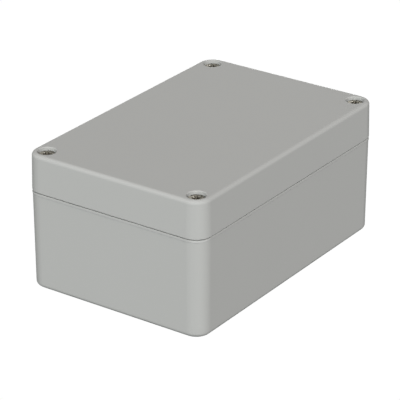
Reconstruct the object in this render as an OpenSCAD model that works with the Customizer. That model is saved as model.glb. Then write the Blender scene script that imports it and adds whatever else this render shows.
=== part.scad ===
// Sealed polycarbonate enclosure with a screwed lid.
// The base and the lid are thin mouldings with drafted walls and rounded edges.
// A tongue on the base presses a gasket in the lid's groove. The seal passes inside
// the four corner channels, which hold the captive lid screws and the wall-fixing holes.
// Millimetres, +Z up, origin at the centre of the base's underside, X along the length.

/* [Case] */
// Outside length at the lid's rim, along X
case_length = 120; // [105:1:200]
// Outside width at the lid's rim, along Y
case_width = 80; // [72:1:160]
// Height of the base, up to the parting plane
base_height = 39.6; // [25:0.1:90]
// Height of the lid, above the parting plane
lid_height = 15.4; // [13:0.1:30]
// Radius of the vertical corners at the rim
corner_radius = 6.5; // [6:0.1:8]
// Thickness of the outer walls at the rim
wall = 3; // [2.6:0.1:3.6]
// Thickness of the base's floor
floor_thickness = 3; // [2:0.1:5]
// Thickness of the lid's top
lid_top_thickness = 3; // [2:0.1:3.6]
// Draft of the base's walls, in degrees
base_draft = 0.4; // [0.2:0.1:1]
// Draft of the lid's walls, in degrees
lid_draft = 1.2; // [0.2:0.1:2]
// Radius of the base's lower edge
bottom_edge_radius = 1.8; // [0.5:0.1:2.5]
// Radius of the lid's upper edge
top_edge_radius = 1.5; // [0.5:0.1:1.7]
// Radius inside the case, where walls meet the floor and the lid's top
inner_edge_radius = 1.2; // [0.5:0.1:1.3]

/* [Parting line] */
// Height of the band around the base's rim
band_height = 0.85; // [0.6:0.05:3]
// How far the band stands out from the base's wall
band_step = 0.17; // [0.05:0.01:0.3]
// How far the base's rim lies inside the lid's rim
rim_setback = 0.02; // [0.02:0.01:0.2]
// Open gap between the two rims
seam_gap = 0.3; // [0.1:0.05:0.4]
// Edge radius of the base's rim
base_rim_radius = 0.1; // [0.05:0.05:0.6]
// Edge radius of the lid's rim
lid_rim_radius = 0.3; // [0.1:0.05:0.6]
// Depth of the relief on the base's rim, in the middle of each corner
corner_relief = 0.2; // [0.1:0.05:0.4]
// Height of the relief in the middle of each corner
corner_relief_height = 0.75; // [0.3:0.05:2]

/* [Seal] */
// Distance of the tongue from the inner edge of the base's rim
tongue_setback = 0.15; // [0.1:0.05:0.4]
// Thickness of the base's sealing tongue
tongue_thickness = 1.3; // [1:0.1:1.6]
// Height of the tongue above the parting plane
tongue_height = 2.4; // [1.5:0.1:3]
// Gap between the tongue and each side of the lid's groove
tongue_clearance = 0.25; // [0.15:0.05:0.3]
// Height of the gasket under load
gasket_height = 2; // [1.2:0.1:3]
// Gap between the gasket and each side of the groove
gasket_clearance = 0.05; // [0.02:0.01:0.1]
// Thickness of the groove's free-standing walls
groove_wall = 1.4; // [1:0.1:1.8]
// Thickness of the lid above the groove
groove_roof = 1.6; // [1:0.1:2.5]
// Corner radius of the sealed space
seal_corner_radius = 3; // [2.2:0.1:4]
// Radius of the sealing wall round a corner channel
channel_radius = 4; // [3.6:0.1:5]
// Thickness of the sealing wall beside a corner channel
channel_wall = 2; // [1.8:0.1:2.4]

/* [Lid screws] */
// Distance of the screw axes from both sides
screw_inset = 6.1; // [6:0.1:6.4]
// Diameter of the screw thread
thread_d = 3.9; // [3:0.1:4]
// Diameter of the undercut shank above the thread
neck_d = 3.1; // [2:0.1:3.2]
// Diameter of the screw head
head_d = 6.6; // [5.5:0.1:6.8]
// Height of the screw head
head_height = 2.5; // [2:0.1:3]
// Depth of the head's top below the lid's top
head_depth = 1.2; // [0.5:0.1:2]
// Radius of the head's upper edge
head_edge_radius = 0.3; // [0.1:0.05:0.5]
// Radial gap round the head
head_clearance = 0.3; // [0.2:0.05:0.4]
// Radius of the rim of the screw recess
recess_rim_radius = 0.4; // [0.1:0.05:0.5]
// Thickness of the lid under the screw head
seat_thickness = 3; // [2:0.1:4]
// Radial gap between the thread and the lid's hole
shank_clearance = 0.2; // [0.1:0.05:0.4]
// Wall round the screw recess
column_wall = 1.4; // [1:0.1:1.5]
// Span of the cross recess at the head's top
drive_span = 4; // [3:0.1:4.4]
// Width of the cross recess's arms at their ends
drive_width = 0.8; // [0.6:0.1:1.2]
// Width of the cross recess's arms in the middle
drive_root_width = 2; // [1.2:0.1:2.4]
// Depth of the cross recess
drive_depth = 1.7; // [1:0.1:1.9]
// Size of the cross recess at its bottom, as a share of its size at the top
drive_taper = 0.75; // [0.3:0.05:0.9]
// Turn of the cross recess from the X axis when the screw is tight, in degrees
drive_turn = 35; // [0:1:89]
// Length of the chamfer on the screw's tip
tip_chamfer = 0.5; // [0.2:0.1:0.8]

/* [Screw retainers] */
// Outside diameter of the retaining washer
retainer_d = 6.2; // [5.2:0.1:6.4]
// Thickness of the retaining washer
retainer_thickness = 1; // [0.6:0.1:1.5]
// Radial gap between the washer and the shank
retainer_bore_clearance = 0.05; // [0.03:0.01:0.1]
// Radial gap between the washer and its chamber in the lid
retainer_clearance = 0.3; // [0.2:0.05:0.4]
// Height of the washer above the parting plane when the screw is tight
retainer_rest = 0.6; // [0.3:0.1:1.5]

/* [Threaded inserts] */
// Outside diameter of the brass insert
insert_d = 5.6; // [5:0.1:6]
// Length of the insert
insert_length = 6; // [4:0.5:8]
// Depth of the insert below the parting plane
insert_depth = 0.3; // [0.1:0.1:1]
// Radial gap between the insert and its hole
insert_clearance = 0.05; // [0.02:0.01:0.1]
// Radial gap between the screw thread and the insert's bore
thread_clearance = 0.1; // [0.05:0.01:0.15]
// Width of the retaining groove round the insert
insert_groove_width = 1; // [0.5:0.1:1.5]
// Depth of the retaining groove round the insert
insert_groove_depth = 0.35; // [0.1:0.05:0.4]
// Chamfer on both ends of the insert
insert_chamfer = 0.3; // [0.1:0.05:0.4]
// Wall round the insert in the base
pillar_wall = 1.6; // [1.2:0.1:1.8]
// Depth of the open hole below the insert
tip_room = 3; // [1:0.5:6]
// Height of the screw's tip above the insert's lower end
tip_height = 0.2; // [0.1:0.1:1]

/* [Wall fixing] */
// Distance of the fixing holes from the short sides
fixing_inset_x = 7; // [6.9:0.1:8]
// Distance of the fixing holes from the long sides
fixing_inset_y = 15; // [14.5:0.1:18]
// Diameter of the fixing holes
fixing_hole_d = 4.4; // [3.5:0.1:5]
// Free radius round the fixing holes, for a screw head
fixing_head_room = 4.4; // [4:0.1:5]

/* [Circuit board bosses] */
// Distance of the bosses from the short sides
boss_inset_x = 20; // [18.5:0.5:30]
// Distance of the bosses from the long sides
boss_inset_y = 10; // [8:0.5:20]
// Diameter of a boss at its top
boss_d = 6; // [4.5:0.1:7]
// Height of a boss above the floor
boss_height = 6; // [3:0.5:15]
// Pilot hole for a board screw
boss_hole_d = 2.5; // [1.6:0.1:3]
// Draft of the bosses, in degrees
boss_draft = 1.5; // [0.5:0.1:3]

/* [Hidden] */
$fn = 64;
// Cutters reach this far past the faces that they cut
over = 1;
// Rounded edges overlap the faces that they blend by this share of their radius
blend_excess = 0.0005;
// Shift of the corner relief's axis along X and Y, as a multiple of its depth
relief_shift = 3;

case_top = base_height + lid_height;
half_x = case_length / 2;
half_y = case_width / 2;
// Corner axes shared by every outer wall
core_x = half_x - corner_radius;
core_y = half_y - corner_radius;

rim_r = corner_radius - rim_setback;
band_z = base_height - band_height;
lid_low = base_height + seam_gap;
lid_inner_top = case_top - lid_top_thickness;

// Sealed space at the parting plane: a crosswise and a lengthwise rectangle
sealed_x = half_x - wall;
sealed_y = half_y - wall;
channel_x = half_x - fixing_inset_x - fixing_head_room;
channel_y = half_y - fixing_inset_y - fixing_head_room;
notch_x = channel_x - channel_wall;
notch_y = channel_y - channel_wall;
notch_axis_x = notch_x + channel_radius;
notch_axis_y = notch_y + channel_radius;

// Offsets of the tongue and of the groove from the outline of the sealed space
tongue_out = tongue_setback + tongue_thickness;
groove_in = tongue_setback - tongue_clearance;
groove_out = tongue_out + tongue_clearance;
groove_top = base_height + tongue_height + gasket_height;

head_r = head_d / 2;
recess_r = head_r + head_clearance;
head_top_z = case_top - head_depth;
seat_z = head_top_z - head_height;
seat_low_z = seat_z - seat_thickness;
column_r = recess_r + column_wall;
shank_hole_r = thread_d / 2 + shank_clearance;
chamber_r = retainer_d / 2 + retainer_clearance;
retainer_z = base_height + retainer_rest;

insert_top_z = base_height - insert_depth;
insert_low_z = insert_top_z - insert_length;
insert_bore_r = thread_d / 2 + thread_clearance;
insert_hole_r = insert_d / 2 + insert_clearance;
pillar_r = insert_hole_r + pillar_wall;
tip_z = insert_low_z + tip_height;

// Signs of the four corners, in the order of the numbered pieces
CORNERS = [[1, 1], [-1, 1], [-1, -1], [1, -1]];

// How far a drafted base wall lies inside its rim at height z
function base_lean(z) = (base_height - z) * tan(base_draft);

// How far a drafted lid wall lies inside its rim at height z
function lid_lean(z) = (z - base_height) * tan(lid_draft);

// Radius of the inner edges, no larger than the tightest inner corner can turn
function inner_edge() = min(inner_edge_radius, (seal_corner_radius - base_lean(0)) / 2);

// Children at the corner with these signs, this far from the middle
module at_corner(corner, x, y) {
    translate([corner[0] * x, corner[1] * y])
        children();
}

// Children on the axes of all lid screws
module at_screws() {
    for (corner = CORNERS)
        at_corner(corner, half_x - screw_inset, half_y - screw_inset)
            children();
}

// Circle of a rounded edge, a trace past tangent so that it meets its neighbours at a clear point
module blend_circle(r) {
    circle(r * (1 + blend_excess));
}

// Section between u_from and a leaning side, z up, the side's lower and upper edge rounded
module side_profile(u_low, u_high, z_low, z_high, r_low, r_high, u_from = 0) {
    out = u_low > u_from ? 1 : -1;
    lean = atan2(out * (u_high - u_low), z_high - z_low);
    run_low = r_low * tan(45 - lean / 2);
    run_high = r_high * tan(45 + lean / 2);
    low_axis = [u_low - out * run_low, z_low + r_low];
    high_axis = [u_high - out * run_high, z_high - r_high];
    low_points = r_low == 0 ? [[u_low, z_low]] : [
        [u_low - out * run_low, z_low],
        low_axis,
        [u_low + out * run_low * sin(lean), z_low + run_low * cos(lean)]
    ];
    high_points = r_high == 0 ? [[u_high, z_high]] : [
        [u_high - out * run_high * sin(lean), z_high - run_high * cos(lean)],
        high_axis,
        [u_high - out * run_high, z_high]
    ];
    polygon(concat([[u_from, z_low]], low_points, high_points, [[u_from, z_high]]));
    if (r_low > 0)
        translate(low_axis)
            blend_circle(r_low);
    if (r_high > 0)
        translate(high_axis)
            blend_circle(r_high);
}

// Block with round corners: the child profile runs along the sides and turns about the corner axes
module swept_block(axis_x, axis_y, z_low, z_high) {
    translate([-axis_x, -axis_y, z_low])
        cube([2 * axis_x, 2 * axis_y, z_high - z_low]);
    for (side = [0:3]) {
        reach = side % 2 == 0 ? axis_x : axis_y;
        run = side % 2 == 0 ? axis_y : axis_x;
        rotate([0, 0, 90 * side]) {
            translate([reach, 0, 0])
                rotate([90, 0, 0])
                    linear_extrude(2 * run, center = true)
                        children();
            translate([reach, run, 0])
                rotate_extrude(angle = 90)
                    children();
        }
    }
}

// Rectangle with round corners
module round_rectangle(size_x, size_y, r) {
    square([2 * size_x, 2 * (size_y - r)], center = true);
    square([2 * (size_x - r), 2 * size_y], center = true);
    for (corner = CORNERS)
        at_corner(corner, size_x - r, size_y - r)
            blend_circle(r);
}

// Plan of one corner beyond low_x and low_y, with a rounded inner corner
module corner_plan(corner, low_x, low_y, r) {
    far = half_x;
    at_corner(corner, low_x + r + far / 2, low_y + far / 2)
        square(far, center = true);
    at_corner(corner, low_x + far / 2, low_y + r + far / 2)
        square(far, center = true);
    at_corner(corner, low_x + r, low_y + r)
        blend_circle(r);
}

// Outline of the sealed space at the parting plane, offset outwards by grow
module sealed_plan(grow) {
    r = seal_corner_radius + grow;
    bend = channel_radius - grow;
    round_rectangle(notch_x + grow, sealed_y + grow, r);
    round_rectangle(sealed_x + grow, notch_y + grow, r);
    for (corner = CORNERS)
        difference() {
            at_corner(corner, notch_axis_x - bend, notch_axis_y - bend)
                square(2 * bend, center = true);
            corner_plan(corner, notch_x + grow, notch_y + grow, bend);
        }
}

// Strip along the seal, from one offset of the outline to another
module seal_strip(grow_in, grow_out, z_low, z_high) {
    translate([0, 0, z_low])
        linear_extrude(z_high - z_low)
            difference() {
                sealed_plan(grow_out);
                sealed_plan(grow_in);
            }
}

// Cutter for one drafted rectangle of the base's inside, its lower edge rounded
module base_hollow(size_x, size_y, r) {
    top = base_height + over;
    floor_r = r - base_lean(floor_thickness);
    swept_block(size_x - r, size_y - r, floor_thickness, top)
        side_profile(floor_r, r - base_lean(top), floor_thickness, top, inner_edge(), 0);
}

// Cutters that round the sealing wall's corners into the sealed space
module notch_reliefs() {
    top = base_height + over;
    floor_r = channel_radius + base_lean(floor_thickness);
    reach = floor_r + 3 * inner_edge();
    for (k = [0:3])
        at_corner(CORNERS[k], notch_axis_x, notch_axis_y)
            rotate([0, 0, 180 + 90 * k])
                rotate_extrude(angle = 90)
                    side_profile(floor_r, channel_radius + base_lean(top), floor_thickness, top,
                        inner_edge(), 0, u_from = reach);
}

// The base's outer form: drafted wall, rounded lower edge and the band round the rim
module base_outside() {
    swept_block(core_x, core_y, 0, base_height) {
        union() {
            side_profile(rim_r - band_step - base_lean(0), rim_r - band_step - base_lean(band_z),
                0, band_z, bottom_edge_radius, 0);
            side_profile(rim_r, rim_r, band_z, base_height, 0, base_rim_radius);
        }
    }
}

// Cutters for the shallow conical relief of the rim at the corners. Each turns about an axis
// inside the corner's own axis, so that its cut fades out along the corner's arc
module corner_reliefs() {
    shift = relief_shift * corner_relief;
    foot_r = rim_r + shift * sqrt(2);
    slope = corner_relief / corner_relief_height;
    for (k = [0:3])
        at_corner(CORNERS[k], core_x - shift, core_y - shift)
            rotate([0, 0, 90 * k])
                translate([0, 0, base_height - corner_relief_height])
                    rotate_extrude(angle = 90)
                        polygon([
                            [foot_r + slope * over, -over],
                            [foot_r + 2 * over, -over],
                            [foot_r + 2 * over, corner_relief_height + over],
                            [foot_r - slope * (corner_relief_height + over), corner_relief_height + over]
                        ]);
}

// Corner channels, between the sealing wall and the outer wall
module corner_channels() {
    for (corner = CORNERS)
        intersection() {
            base_hollow(sealed_x, sealed_y, corner_radius - wall);
            linear_extrude(base_height + over)
                corner_plan(corner, channel_x, channel_y, channel_radius - channel_wall);
        }
}

// Children on the axes of all board bosses, at the floor's upper face
module at_bosses() {
    for (corner = CORNERS)
        at_corner(corner, half_x - boss_inset_x, half_y - boss_inset_y)
            translate([0, 0, floor_thickness])
                children();
}

module bosses() {
    foot_r = boss_d / 2 + boss_height * tan(boss_draft);
    sunk = floor_thickness / 2;
    at_bosses() {
        cylinder(h = boss_height, r1 = foot_r, r2 = boss_d / 2);
        translate([0, 0, -sunk])
            cylinder(h = sunk, r = foot_r);
    }
}

module pillars() {
    at_screws()
        translate([0, 0, floor_thickness / 2])
            cylinder(h = base_height - floor_thickness / 2, r = pillar_r);
}

// Stepped holes in the pillars: the insert rests on the step
module pillar_holes() {
    at_screws()
        translate([0, 0, insert_low_z]) {
            cylinder(h = base_height - insert_low_z + over, r = insert_hole_r);
            translate([0, 0, -tip_room])
                cylinder(h = tip_room + over, r = insert_bore_r);
        }
}

module fixing_holes() {
    for (corner = CORNERS)
        at_corner(corner, half_x - fixing_inset_x, half_y - fixing_inset_y)
            translate([0, 0, -over])
                cylinder(h = floor_thickness + 2 * over, d = fixing_hole_d);
}

module base() {
    color("#a8aaa6")
        difference() {
            union() {
                difference() {
                    base_outside();
                    corner_reliefs();
                    base_hollow(notch_x, sealed_y, seal_corner_radius);
                    base_hollow(sealed_x, notch_y, seal_corner_radius);
                    notch_reliefs();
                    corner_channels();
                }
                seal_strip(tongue_setback, tongue_out, base_height - over, base_height + tongue_height);
                pillars();
                bosses();
            }
            pillar_holes();
            at_bosses()
                cylinder(h = boss_height + over, d = boss_hole_d);
            fixing_holes();
        }
}

// The lid's outer form: drafted wall with rounded rim and rounded upper edge
module lid_outside() {
    swept_block(core_x, core_y, lid_low, case_top)
        side_profile(corner_radius - lid_lean(lid_low), corner_radius - lid_lean(case_top),
            lid_low, case_top, lid_rim_radius, top_edge_radius);
}

module lid_hollow() {
    inner_r = corner_radius - wall;
    low = base_height - over;
    swept_block(core_x, core_y, low, lid_inner_top)
        side_profile(inner_r - lid_lean(low), inner_r - lid_lean(lid_inner_top),
            low, lid_inner_top, 0, inner_edge());
}

// Block round the gasket groove, ending halfway through the outer wall
module groove_block() {
    inset = wall / 2;
    translate([0, 0, lid_low])
        linear_extrude(groove_top + groove_roof - lid_low)
            intersection() {
                round_rectangle(half_x - inset, half_y - inset, corner_radius - inset);
                difference() {
                    sealed_plan(groove_out + groove_wall);
                    sealed_plan(groove_in - groove_wall);
                }
            }
}

module screw_columns() {
    at_screws()
        translate([0, 0, base_height])
            cylinder(h = lid_inner_top + lid_top_thickness / 2 - base_height, r = column_r);
}

// Section of the screw recess, with a rounded rim
module recess_section() {
    translate([0, seat_z])
        square([recess_r, case_top + over - seat_z]);
    difference() {
        translate([0, case_top - recess_rim_radius])
            square([recess_r + recess_rim_radius, recess_rim_radius + over]);
        translate([recess_r + recess_rim_radius, case_top - recess_rim_radius])
            blend_circle(recess_rim_radius);
    }
}

// Recess for the head, hole for the shank and chamber for the washer
module screw_cutters() {
    at_screws() {
        rotate_extrude()
            recess_section();
        translate([0, 0, seat_low_z - over])
            cylinder(h = seat_thickness + 2 * over, r = shank_hole_r);
        translate([0, 0, base_height - over])
            cylinder(h = seat_low_z - base_height + over, r = chamber_r);
    }
}

module lid() {
    color("#acaeaa")
        difference() {
            union() {
                difference() {
                    lid_outside();
                    lid_hollow();
                }
                groove_block();
                screw_columns();
            }
            seal_strip(groove_in, groove_out, base_height - over, groove_top);
            screw_cutters();
        }
}

module gasket() {
    color("#3a3b3c")
        seal_strip(groove_in + gasket_clearance, groove_out - gasket_clearance,
            groove_top - gasket_height, groove_top);
}

// Half section of a lid screw: head with a rounded edge, undercut shank, thread, chamfered tip
module screw_section() {
    side_profile(head_r, head_r, seat_z, head_top_z, 0, head_edge_radius);
    translate([0, retainer_z - over])
        square([neck_d / 2, seat_z - retainer_z + 2 * over]);
    thread_r = thread_d / 2;
    polygon([
        [0, tip_z],
        [thread_r - tip_chamfer, tip_z],
        [thread_r, tip_z + tip_chamfer],
        [thread_r, retainer_z],
        [0, retainer_z]
    ]);
}

// Cross recess with arms that widen to the middle, narrowing to its bottom
module drive_recess() {
    reach = drive_span / 2;
    translate([0, 0, head_top_z])
        mirror([0, 0, 1])
            linear_extrude(drive_depth, scale = drive_taper)
                for (turn = [drive_turn, drive_turn + 90])
                    rotate(turn)
                        polygon([
                            [-reach, -drive_width / 2],
                            [0, -drive_root_width / 2],
                            [reach, -drive_width / 2],
                            [reach, drive_width / 2],
                            [0, drive_root_width / 2],
                            [-reach, drive_width / 2]
                        ]);
}

module lid_screw(i) {
    color("#9a978c")
        at_corner(CORNERS[i - 1], half_x - screw_inset, half_y - screw_inset)
            difference() {
                rotate_extrude()
                    screw_section();
                drive_recess();
            }
}

module screw_retainer(i) {
    color("#e4e2d8")
        at_corner(CORNERS[i - 1], half_x - screw_inset, half_y - screw_inset)
            translate([0, 0, retainer_z])
                difference() {
                    cylinder(h = retainer_thickness, d = retainer_d);
                    translate([0, 0, -over])
                        cylinder(h = retainer_thickness + 2 * over,
                            r = neck_d / 2 + retainer_bore_clearance);
                }
}

// Half section of a threaded insert, with chamfered ends and a groove round its middle
module insert_section() {
    r = insert_d / 2;
    middle = (insert_low_z + insert_top_z) / 2;
    difference() {
        polygon([
            [insert_bore_r, insert_low_z],
            [r - insert_chamfer, insert_low_z],
            [r, insert_low_z + insert_chamfer],
            [r, insert_top_z - insert_chamfer],
            [r - insert_chamfer, insert_top_z],
            [insert_bore_r, insert_top_z]
        ]);
        translate([r - insert_groove_depth, middle - insert_groove_width / 2])
            square([insert_groove_depth + over, insert_groove_width]);
    }
}

module threaded_insert(i) {
    color("#c49a4a")
        at_corner(CORNERS[i - 1], half_x - screw_inset, half_y - screw_inset)
            rotate_extrude()
                insert_section();
}

base();
lid();
gasket();
for (i = [1:4]) {
    lid_screw(i);
    screw_retainer(i);
    threaded_insert(i);
}
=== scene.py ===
"""Looks of a sealed polycarbonate enclosure, built around its CAD frame.

Base and lid keep their CAD meshes, and so do the gasket and the screw retainers, with softened edges.
The lid screws and the threaded inserts are remodelled with cut threads that mesh, a tapered cross
recess and a knurl. Units are metres, and the angles among the named values are degrees.
"""
import math
from typing import NamedTuple

import bpy
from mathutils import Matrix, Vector


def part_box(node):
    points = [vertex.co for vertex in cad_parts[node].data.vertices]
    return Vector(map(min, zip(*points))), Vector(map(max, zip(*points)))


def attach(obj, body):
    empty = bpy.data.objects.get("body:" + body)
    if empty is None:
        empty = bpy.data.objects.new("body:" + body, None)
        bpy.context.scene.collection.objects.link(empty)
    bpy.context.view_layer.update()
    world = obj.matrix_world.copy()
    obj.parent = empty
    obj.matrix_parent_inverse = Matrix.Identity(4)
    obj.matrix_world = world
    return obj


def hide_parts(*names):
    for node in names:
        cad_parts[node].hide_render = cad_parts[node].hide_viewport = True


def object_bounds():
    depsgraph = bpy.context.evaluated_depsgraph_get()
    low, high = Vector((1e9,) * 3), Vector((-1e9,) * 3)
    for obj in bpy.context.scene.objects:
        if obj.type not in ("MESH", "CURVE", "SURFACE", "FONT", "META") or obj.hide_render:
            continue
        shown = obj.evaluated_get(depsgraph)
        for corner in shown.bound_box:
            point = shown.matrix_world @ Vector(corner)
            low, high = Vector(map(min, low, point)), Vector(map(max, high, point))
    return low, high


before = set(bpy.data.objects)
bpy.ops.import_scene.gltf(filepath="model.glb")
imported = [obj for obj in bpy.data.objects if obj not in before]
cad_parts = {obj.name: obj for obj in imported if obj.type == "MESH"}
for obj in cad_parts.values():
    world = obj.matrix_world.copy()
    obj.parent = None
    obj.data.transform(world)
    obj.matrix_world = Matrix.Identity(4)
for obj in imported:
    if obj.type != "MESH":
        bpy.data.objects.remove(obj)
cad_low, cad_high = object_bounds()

MM = 0.001
NUMBERS = (1, 2, 3, 4)
WHITE = (1.0, 1.0, 1.0)
NOISE_DETAIL = 3.0


class Sun(NamedTuple):
    """A soft sun: the side that it shines from, its strength and its tint."""
    azimuth: float
    elevation: float
    strength: float
    tint: tuple = WHITE


class Finish(NamedTuple):
    """A surface: its linear colour, how far shade and gloss wander, and its fine relief."""
    colour: tuple
    shade_scale: float
    shade_spread: float
    gloss_scale: float
    rough_low: float
    rough_high: float
    relief_scale: float
    relief_strength: float
    relief_depth: float
    shade_detail: float = NOISE_DETAIL
    relief_detail: float = NOISE_DETAIL


# Camera at the photograph's viewing angle
CAMERA_TARGET = Vector((-0.0024, 0.00065, 0.0241))
CAMERA_DISTANCE = 0.8607
CAMERA_AZIMUTH = -55.0
CAMERA_ELEVATION = 24.98
CAMERA_LENS = 200.6

# Light: an even surround, soft suns, and a glint that reaches the screws alone
SURROUND_STRENGTH = 0.26
SUN_ANGLE = 10.0
SUNS = {
    "key_left": Sun(-60.0, 20.0, 2.065, (0.945, 0.991, 1.0)),
    "key_right": Sun(-30.0, 45.0, 1.862, (1.0, 0.955, 0.949)),
    "side": Sun(-150.0, 20.0, 0.83),
    "fill_behind": Sun(122.0, -5.0, 1.0),
}
GLINT = Sun(97.6, 30.0, 3.2)

# Pale backdrop: a round floor, a hair below the base, that curves up into a wall
FLOOR_GAP = 0.02 * MM
BACKDROP_RADIUS = 2.4
BACKDROP_BEND = 0.8
BACKDROP_BEND_STEPS = 12
BACKDROP_HEIGHT = 2.6
BACKDROP_SEGMENTS = 96
BACKDROP_SMOOTH_ANGLE = 60
BACKDROP_GLOW = (1.01, 1.01, 1.01)
BACKDROP_CLOUD_SCALE = 3.0
BACKDROP_CLOUD_SPREAD = 0.01

# Dark card under the base, which puts painted shade on the base's lower edge
SHADE_CARD_COLOUR = (0.01, 0.01, 0.01)
CARD_GRAIN_SCALE = 400.0
CARD_GRAIN_SPREAD = 0.2

# Finishes
HOUSING = Finish(
    colour=(0.382, 0.385, 0.371), shade_scale=45.0, shade_spread=0.008,
    gloss_scale=900.0, rough_low=0.72, rough_high=0.80,
    relief_scale=5500.0, relief_strength=0.12, relief_depth=0.02 * MM, relief_detail=2.0,
)
HOUSING_IOR = 1.5
HOUSING_SPECULAR = 0.7
RUBBER = Finish(
    colour=(0.030, 0.031, 0.033), shade_scale=1500.0, shade_spread=0.25,
    gloss_scale=3000.0, rough_low=0.62, rough_high=0.82,
    relief_scale=6000.0, relief_strength=0.4, relief_depth=0.05 * MM, relief_detail=4.0,
)
NYLON = Finish(
    colour=(0.66, 0.63, 0.54), shade_scale=600.0, shade_spread=0.05,
    gloss_scale=1800.0, rough_low=0.38, rough_high=0.5,
    relief_scale=4000.0, relief_strength=0.15, relief_depth=0.02 * MM,
)
NYLON_SUBSURFACE = 0.15
NYLON_SUBSURFACE_RADIUS = (0.4 * MM, 0.35 * MM, 0.25 * MM)
STEEL = Finish(
    colour=(0.25, 0.236, 0.20), shade_scale=900.0, shade_spread=0.12, shade_detail=5.0,
    gloss_scale=2500.0, rough_low=0.45, rough_high=0.55,
    relief_scale=1100.0, relief_strength=0.25, relief_depth=0.01 * MM,
)
BRASS = STEEL._replace(colour=(0.62, 0.43, 0.17), rough_low=0.22, rough_high=0.36)
TURNING_DISTORTION = 1.5

# Softened edges of the small mouldings
GASKET_EDGE = 0.25 * MM
RETAINER_EDGE = 0.12 * MM
EDGE_SEGMENTS = 2
EDGE_LEAST_ANGLE = 40
WELD_DISTANCE = 0.001 * MM

# Thread of screws and inserts; crest and root are flat over these shares of the pitch
THREAD_PITCH = 0.7 * MM
THREAD_RADIUS = 1.95 * MM
THREAD_DEPTH = 0.45 * MM
THREAD_ROOT_RADIUS = THREAD_RADIUS - THREAD_DEPTH
THREAD_CREST_FLAT = 0.25
THREAD_ROOT_FLAT = 0.125
THREAD_FADE = 0.5 * MM
RINGS_A_PITCH = 14
SEGMENTS = 96
SMOOTH_ANGLE = 35

# Lid screw; the shares are those of the way from the recess to the head's rounded edge
NECK_RADIUS = 1.55 * MM
NECK_RUN_IN = 0.1 * MM
NECK_FILLET = 0.15 * MM
NECK_FILLET_STEPS = 3
HEAD_HEIGHT = 2.5 * MM
HEAD_LOWER_EDGE = 0.08 * MM
HEAD_EDGE = 0.4 * MM
HEAD_EDGE_STEPS = 6
HEAD_FLAT_SHARES = (0.5, 0.06)

# Cross recess in the screw's head, each arm wider at its root than at its tip
DRIVE_TURN = 41
DRIVE_ARMS = 4
DRIVE_REACH = 1.8 * MM
DRIVE_TIP = 0.55 * MM
DRIVE_ROOT = 1.05 * MM
DRIVE_SHARPNESS = 10
DRIVE_EDGE = 0.06 * MM
DRIVE_DEPTH = 1.2 * MM
DRIVE_POINT = 0.2 * MM
DRIVE_TAPER = 0.95
DRIVE_STEPS = 5

# Threaded insert
INSERT_CLEARANCE = 0.1 * MM
KNURLS = 32
KNURL_DEPTH = 0.14 * MM
INSERT_CHAMFER = 0.3 * MM
INSERT_GROOVE_WIDTH = 1.0 * MM
INSERT_GROOVE_DEPTH = 0.35 * MM


# Materials

def new_material(name):
    """A material with nodes; returns it, its tree and its shader."""
    material = bpy.data.materials.new(name)
    material.use_nodes = True
    tree = material.node_tree
    return material, tree, tree.nodes["Principled BSDF"]


def over_piece(tree, texture):
    """Lays a texture over the piece's own coordinates and gives its factor."""
    coordinates = tree.nodes.new("ShaderNodeTexCoord")
    tree.links.new(coordinates.outputs["Object"], texture.inputs["Vector"])
    return texture.outputs["Fac"]


def noise(tree, scale, detail=NOISE_DETAIL):
    """Noise, scale in cells a metre."""
    texture = tree.nodes.new("ShaderNodeTexNoise")
    texture.inputs["Scale"].default_value = scale
    texture.inputs["Detail"].default_value = detail
    return over_piece(tree, texture)


def turned_lines(tree, scale):
    """Fine rings about the piece's own Z axis, as a lathe leaves them."""
    texture = tree.nodes.new("ShaderNodeTexWave")
    texture.wave_type = "RINGS"
    texture.rings_direction = "Z"
    texture.inputs["Scale"].default_value = scale
    texture.inputs["Distortion"].default_value = TURNING_DISTORTION
    return over_piece(tree, texture)


def vary_colour(tree, shader, factor, colour, spread, socket="Base Color"):
    """Colour that wanders by a small share to both sides of the given colour."""
    mix = tree.nodes.new("ShaderNodeMix")
    mix.data_type = "RGBA"
    mix.inputs["A"].default_value = [c * (1 - spread) for c in colour] + [1]
    mix.inputs["B"].default_value = [c * (1 + spread) for c in colour] + [1]
    tree.links.new(factor, mix.inputs["Factor"])
    tree.links.new(mix.outputs["Result"], shader.inputs[socket])


def vary_roughness(tree, shader, factor, low, high):
    """Roughness between two values."""
    spread = tree.nodes.new("ShaderNodeMapRange")
    spread.inputs["To Min"].default_value = low
    spread.inputs["To Max"].default_value = high
    tree.links.new(factor, spread.inputs["Value"])
    tree.links.new(spread.outputs["Result"], shader.inputs["Roughness"])


def add_bump(tree, shader, height, strength, depth):
    """Fine relief of the given depth."""
    bump = tree.nodes.new("ShaderNodeBump")
    bump.inputs["Strength"].default_value = strength
    bump.inputs["Distance"].default_value = depth
    tree.links.new(height, bump.inputs["Height"])
    tree.links.new(bump.outputs["Normal"], shader.inputs["Normal"])


def finish_material(name, finish, turned=False):
    """A material that varies as its finish says, with a grain or turned lines, and its shader."""
    material, tree, shader = new_material(name)
    shade = noise(tree, finish.shade_scale, finish.shade_detail)
    vary_colour(tree, shader, shade, finish.colour, finish.shade_spread)
    gloss = noise(tree, finish.gloss_scale)
    vary_roughness(tree, shader, gloss, finish.rough_low, finish.rough_high)
    if turned:
        relief = turned_lines(tree, finish.relief_scale)
    else:
        relief = noise(tree, finish.relief_scale, finish.relief_detail)
    add_bump(tree, shader, relief, finish.relief_strength, finish.relief_depth)
    return material, shader


def housing_material():
    """Light grey moulded polycarbonate with a fine satin texture."""
    material, shader = finish_material("moulded_polycarbonate", HOUSING)
    shader.inputs["IOR"].default_value = HOUSING_IOR
    shader.inputs["Specular IOR Level"].default_value = HOUSING_SPECULAR
    return material


def rubber_material():
    """Soft dark cellular rubber."""
    return finish_material("sealing_rubber", RUBBER)[0]


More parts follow.
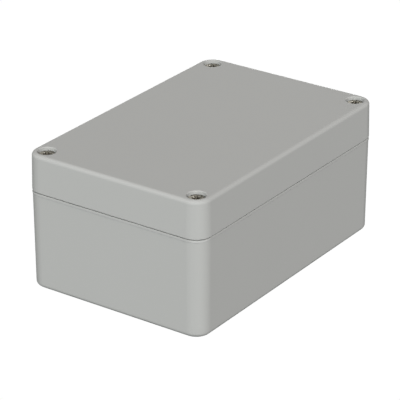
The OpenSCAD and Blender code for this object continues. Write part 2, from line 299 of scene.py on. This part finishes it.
def nylon_material():
    """Natural polyamide, slightly translucent."""
    material, shader = finish_material("natural_polyamide", NYLON)
    shader.inputs["Subsurface Weight"].default_value = NYLON_SUBSURFACE
    shader.inputs["Subsurface Radius"].default_value = NYLON_SUBSURFACE_RADIUS
    return material


def metal_material(name, finish):
    """Turned metal: fine rings, slight stains and uneven gloss."""
    material, shader = finish_material(name, finish, turned=True)
    shader.inputs["Metallic"].default_value = 1.0
    return material


def backdrop_material():
    """White light-box paper with a soft cloudiness; its own glow leaves no shadow on it."""
    material, tree, shader = new_material("pale_backdrop")
    clouds = noise(tree, BACKDROP_CLOUD_SCALE)
    vary_colour(tree, shader, clouds, BACKDROP_GLOW, BACKDROP_CLOUD_SPREAD, "Emission Color")
    shader.inputs["Base Color"].default_value = (0.0, 0.0, 0.0, 1.0)
    shader.inputs["Specular IOR Level"].default_value = 0.0
    shader.inputs["Emission Strength"].default_value = 1.0
    return material


def shade_card_material():
    """Matt black card, whose dark colour puts painted shade on the base's lower edge."""
    material, tree, shader = new_material("dark_shade_card")
    vary_colour(tree, shader, noise(tree, CARD_GRAIN_SCALE), SHADE_CARD_COLOUR, CARD_GRAIN_SPREAD)
    shader.inputs["Specular IOR Level"].default_value = 0.0
    return material


# Meshes from rings

def new_piece(name, points, faces, material):
    """A mesh object of one material, in the scene."""
    mesh = bpy.data.meshes.new(name)
    mesh.from_pydata(points, [], faces)
    mesh.materials.append(material)
    piece = bpy.data.objects.new(name, mesh)
    bpy.context.scene.collection.objects.link(piece)
    return piece


def ring_piece(name, axis, rings, material, low=None, high=None, loop=False):
    """A piece from rings of points about a vertical axis.

    The first and last ring get a fan to a point on the axis at height low and high,
    or with loop the last ring joins the first.
    """
    count = len(rings[0])
    points = [point for one_ring in rings for point in one_ring]
    sides = [(i, (i + 1) % count) for i in range(count)]
    faces = []
    for k in range(len(rings) if loop else len(rings) - 1):
        here = k * count
        there = (k + 1) % len(rings) * count
        faces += [(here + i, here + j, there + j, there + i) for i, j in sides]
    if low is not None:
        faces += [(j, i, len(points)) for i, j in sides]
        points.append((0, 0, low))
    if high is not None:
        last = (len(rings) - 1) * count
        faces += [(last + i, last + j, len(points)) for i, j in sides]
        points.append((0, 0, high))
    piece = new_piece(name, points, faces, material)
    piece.location = axis
    return piece


def ring(radius, height, segments=SEGMENTS):
    """Ring of points at a height; the radius is a number, or a function of the angle in radians."""
    points = []
    for i in range(segments):
        angle = 2 * math.pi * i / segments
        r = radius(angle) if callable(radius) else radius
        points.append((r * math.cos(angle), r * math.sin(angle), height))
    return points


def quarter(steps):
    """Angles of a quarter turn in radians, both ends included."""
    return [math.pi / 2 * k / steps for k in range(steps + 1)]


def rounding(radius, top, change, steps):
    """Rings of a quarter round that ends at height top and changes the radius by so much."""
    rise = abs(change)
    return [
        ring(radius + change * (1 - math.cos(a)), top - rise * (1 - math.sin(a)))
        for a in quarter(steps)
    ]


def smooth(piece, angle):
    """Smooth shading, with edges sharper than the angle left crisp."""
    mesh = piece.data
    mesh.shade_smooth()
    mesh.set_sharp_from_angle(angle=math.radians(angle))


# Screws and inserts

def axis_of(node):
    """Foot of the vertical axis of a round CAD node."""
    low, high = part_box(node)
    return Vector(((low.x + high.x) / 2, (low.y + high.y) / 2, 0))


def thread_height(angle, z):
    """Height of the thread's ridge above its root, 0 to 1, on a right-hand helix; angle in radians."""
    turn = (z / THREAD_PITCH - angle / (2 * math.pi)) % 1.0
    from_crest = abs(turn - 0.5) * 2
    foot = 1 - THREAD_ROOT_FLAT
    return min(1.0, max(0.0, (foot - from_crest) / (foot - THREAD_CREST_FLAT)))


def fade(z, low, high):
    """From 0 at both ends to 1 inside, over the thread's run-out."""
    return max(0.0, min(1.0, (z - low) / THREAD_FADE, (high - z) / THREAD_FADE))


def thread_rings(low, high, root_r, end):
    """Rings of a cut thread, which at both ends runs out to its root (end 0) or to its crest (end 1)."""
    rings = []
    steps = round((high - low) / THREAD_PITCH * RINGS_A_PITCH)
    for k in range(steps + 1):
        z = low + (high - low) * k / steps
        share = fade(z, low, high)

        def radius(angle, z=z, share=share):
            return root_r + THREAD_DEPTH * (end + (thread_height(angle, z) - end) * share)

        rings.append(ring(radius, z))
    return rings


def drive_outline(scale):
    """Radius of the cross recess, its arms wider to the middle, as a function of the angle in radians."""
    reach = DRIVE_REACH * scale
    tip = DRIVE_TIP * scale
    root = DRIVE_ROOT * scale
    turn = math.radians(DRIVE_TURN)
    half_sector = math.pi / DRIVE_ARMS

    def radius(angle):
        off = (angle - turn + half_sector) % (2 * half_sector) - half_sector
        end = math.cos(off) / reach
        side = (abs(math.sin(off)) + (root - tip) / reach * math.cos(off)) / root
        return (end ** DRIVE_SHARPNESS + side ** DRIVE_SHARPNESS) ** (-1 / DRIVE_SHARPNESS)

    return radius


def drive_rings(flat_r, top):
    """Rings over the head's flat to the recess, and down the recess's walls."""
    rings = []
    rim = drive_outline(1.0)
    for share in HEAD_FLAT_SHARES:
        def radius(angle, share=share):
            return rim(angle) + (flat_r - rim(angle)) * share

        rings.append(ring(radius, top))
    for k in range(DRIVE_STEPS + 1):
        depth = k / DRIVE_STEPS
        outline = drive_outline(1 - (1 - DRIVE_TAPER) * depth)
        rings.append(ring(outline, top - DRIVE_EDGE - (DRIVE_DEPTH - DRIVE_EDGE) * depth))
    return rings


def make_screw(number, material):
    """Captive lid screw: flat head with cross recess, undercut shank and cut thread."""
    node = f"lid_screw_{number}"
    low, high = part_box(node)
    head_r = (high.x - low.x) / 2
    head_low = high.z - HEAD_HEIGHT
    thread_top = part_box(f"screw_retainer_{number}")[0].z
    rings = thread_rings(low.z, thread_top, THREAD_ROOT_RADIUS, end=0)
    rings.append(ring(NECK_RADIUS, thread_top + NECK_RUN_IN))
    rings += rounding(NECK_RADIUS, head_low, NECK_FILLET, NECK_FILLET_STEPS)
    rings.append(ring(head_r - HEAD_LOWER_EDGE, head_low))
    rings.append(ring(head_r, head_low + HEAD_LOWER_EDGE))
    rings += rounding(head_r, high.z, -HEAD_EDGE, HEAD_EDGE_STEPS)
    rings += drive_rings(head_r - HEAD_EDGE, high.z)
    bottom = high.z - DRIVE_DEPTH - DRIVE_POINT
    piece = ring_piece(f"screw_{number}_steel", axis_of(node), rings, material, low=low.z, high=bottom)
    smooth(piece, SMOOTH_ANGLE)
    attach(piece, f"screw_{number}")
    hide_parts(node)
    return piece


def make_insert(number, material):
    """Knurled brass insert with a groove round its middle and a thread that meshes with the screw."""
    node = f"threaded_insert_{number}"
    low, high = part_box(node)
    outer_r = (high.x - low.x) / 2
    valley_r = outer_r - KNURL_DEPTH
    groove_r = outer_r - INSERT_GROOVE_DEPTH
    end_r = outer_r - INSERT_CHAMFER
    middle = (low.z + high.z) / 2
    groove_low = middle - INSERT_GROOVE_WIDTH / 2
    groove_high = middle + INSERT_GROOVE_WIDTH / 2

    def knurled(angle):
        tooth = abs((angle * KNURLS / (2 * math.pi)) % 1.0 - 0.5) * 2
        return outer_r - KNURL_DEPTH * tooth

    outside = [
        (end_r, low.z),
        (valley_r, low.z + INSERT_CHAMFER - KNURL_DEPTH),
        (knurled, low.z + INSERT_CHAMFER),
        (knurled, groove_low),
        (groove_r, groove_low),
        (groove_r, groove_high),
        (knurled, groove_high),
        (knurled, high.z - INSERT_CHAMFER),
        (valley_r, high.z - INSERT_CHAMFER + KNURL_DEPTH),
        (end_r, high.z),
    ]
    bore = thread_rings(low.z, high.z, THREAD_ROOT_RADIUS + INSERT_CLEARANCE, end=1)
    rings = bore[::-1] + [ring(radius, z) for radius, z in outside]
    piece = ring_piece(f"insert_{number}_brass", axis_of(node), rings, material, loop=True)
    smooth(piece, SMOOTH_ANGLE)
    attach(piece, "base")
    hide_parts(node)


# CAD nodes that stay

def set_material(node, material):
    """Gives a CAD node its material."""
    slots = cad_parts[node].data.materials
    slots.clear()
    slots.append(material)


def soften_edges(node, width):
    """Rounds the edges of a small moulded CAD node."""
    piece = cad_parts[node]
    weld = piece.modifiers.new("weld", "WELD")
    weld.merge_threshold = WELD_DISTANCE
    bevel = piece.modifiers.new("edges", "BEVEL")
    bevel.width = width
    bevel.segments = EDGE_SEGMENTS
    bevel.limit_method = "ANGLE"
    bevel.angle_limit = math.radians(EDGE_LEAST_ANGLE)


# Stage

def make_backdrop():
    """Floor and surrounding wall in one sheet; it takes no part in lighting the object."""
    foot = BACKDROP_RADIUS - BACKDROP_BEND
    section = [
        (foot + BACKDROP_BEND * math.sin(a), BACKDROP_BEND * (1 - math.cos(a)))
        for a in quarter(BACKDROP_BEND_STEPS)
    ]
    section.append((BACKDROP_RADIUS, BACKDROP_HEIGHT))
    rings = [ring(radius, z, BACKDROP_SEGMENTS) for radius, z in section]
    centre = Vector((0, 0, cad_low.z - FLOOR_GAP))
    backdrop = ring_piece("backdrop", centre, rings, backdrop_material(), low=0.0)
    smooth(backdrop, BACKDROP_SMOOTH_ANGLE)
    backdrop.visible_diffuse = False
    backdrop.visible_glossy = False
    backdrop.visible_shadow = False


def make_shade_card():
    """Dark card under the base, unseen by the camera, that paints shade on the base's lower edge in place
    of a floor's contact shade.
    """
    low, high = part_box("base")
    level = cad_low.z - FLOOR_GAP / 2
    plan = [(low.x, low.y), (high.x, low.y), (high.x, high.y), (low.x, high.y)]
    card = new_piece("card", [(x, y, level) for x, y in plan], [range(len(plan))], shade_card_material())
    card.visible_camera = False


def towards(azimuth, elevation):
    """Unit vector from the object out to a viewpoint or a light; azimuth 0 is at -Y, 90 at +X."""
    turn = math.radians(azimuth)
    rise = math.radians(elevation)
    return Vector((math.sin(turn) * math.cos(rise), -math.cos(turn) * math.cos(rise), math.sin(rise)))


def add_sun(name, sun):
    """The lamp of a sun."""
    light = bpy.data.lights.new(name, "SUN")
    light.energy = sun.strength
    light.color = sun.tint
    light.angle = math.radians(SUN_ANGLE)
    lamp = bpy.data.objects.new(name, light)
    lamp.rotation_euler = towards(sun.azimuth, sun.elevation).to_track_quat("Z", "Y").to_euler()
    bpy.context.scene.collection.objects.link(lamp)
    return lamp


def make_lights(screws):
    """The surround, the suns and the glint, which shines on the screws only."""
    world = bpy.data.worlds.new("surround")
    world.use_nodes = True
    background = world.node_tree.nodes["Background"]
    background.inputs["Color"].default_value = (*WHITE, 1.0)
    background.inputs["Strength"].default_value = SURROUND_STRENGTH
    bpy.context.scene.world = world
    for name, sun in SUNS.items():
        add_sun(name, sun)
    glint = add_sun("glint", GLINT)
    lit = bpy.data.collections.new("lit_by_glint")
    for screw in screws:
        lit.objects.link(screw)
    glint.light_linking.receiver_collection = lit


def make_camera():
    """Camera that looks at its target as the photograph does; colours show as they are."""
    back = towards(CAMERA_AZIMUTH, CAMERA_ELEVATION)
    lens = bpy.data.cameras.new("camera")
    lens.lens = CAMERA_LENS
    camera = bpy.data.objects.new("camera", lens)
    camera.location = CAMERA_TARGET + back * CAMERA_DISTANCE
    camera.rotation_euler = back.to_track_quat("Z", "Y").to_euler()
    bpy.context.scene.collection.objects.link(camera)
    bpy.context.scene.camera = camera
    bpy.context.scene.view_settings.view_transform = "Standard"


# The object
housing = housing_material()
steel = metal_material("turned_steel", STEEL)
brass = metal_material("machined_brass", BRASS)
nylon = nylon_material()
set_material("base", housing)
set_material("lid", housing)
set_material("gasket", rubber_material())
soften_edges("gasket", GASKET_EDGE)
lid_screws = [make_screw(number, steel) for number in NUMBERS]
for number in NUMBERS:
    make_insert(number, brass)
    set_material(f"screw_retainer_{number}", nylon)
    soften_edges(f"screw_retainer_{number}", RETAINER_EDGE)

# The stage around it
make_backdrop()
# painted shade: a black sheet under the base darkens its lower edge
make_shade_card()
make_lights(lid_screws)
make_camera()
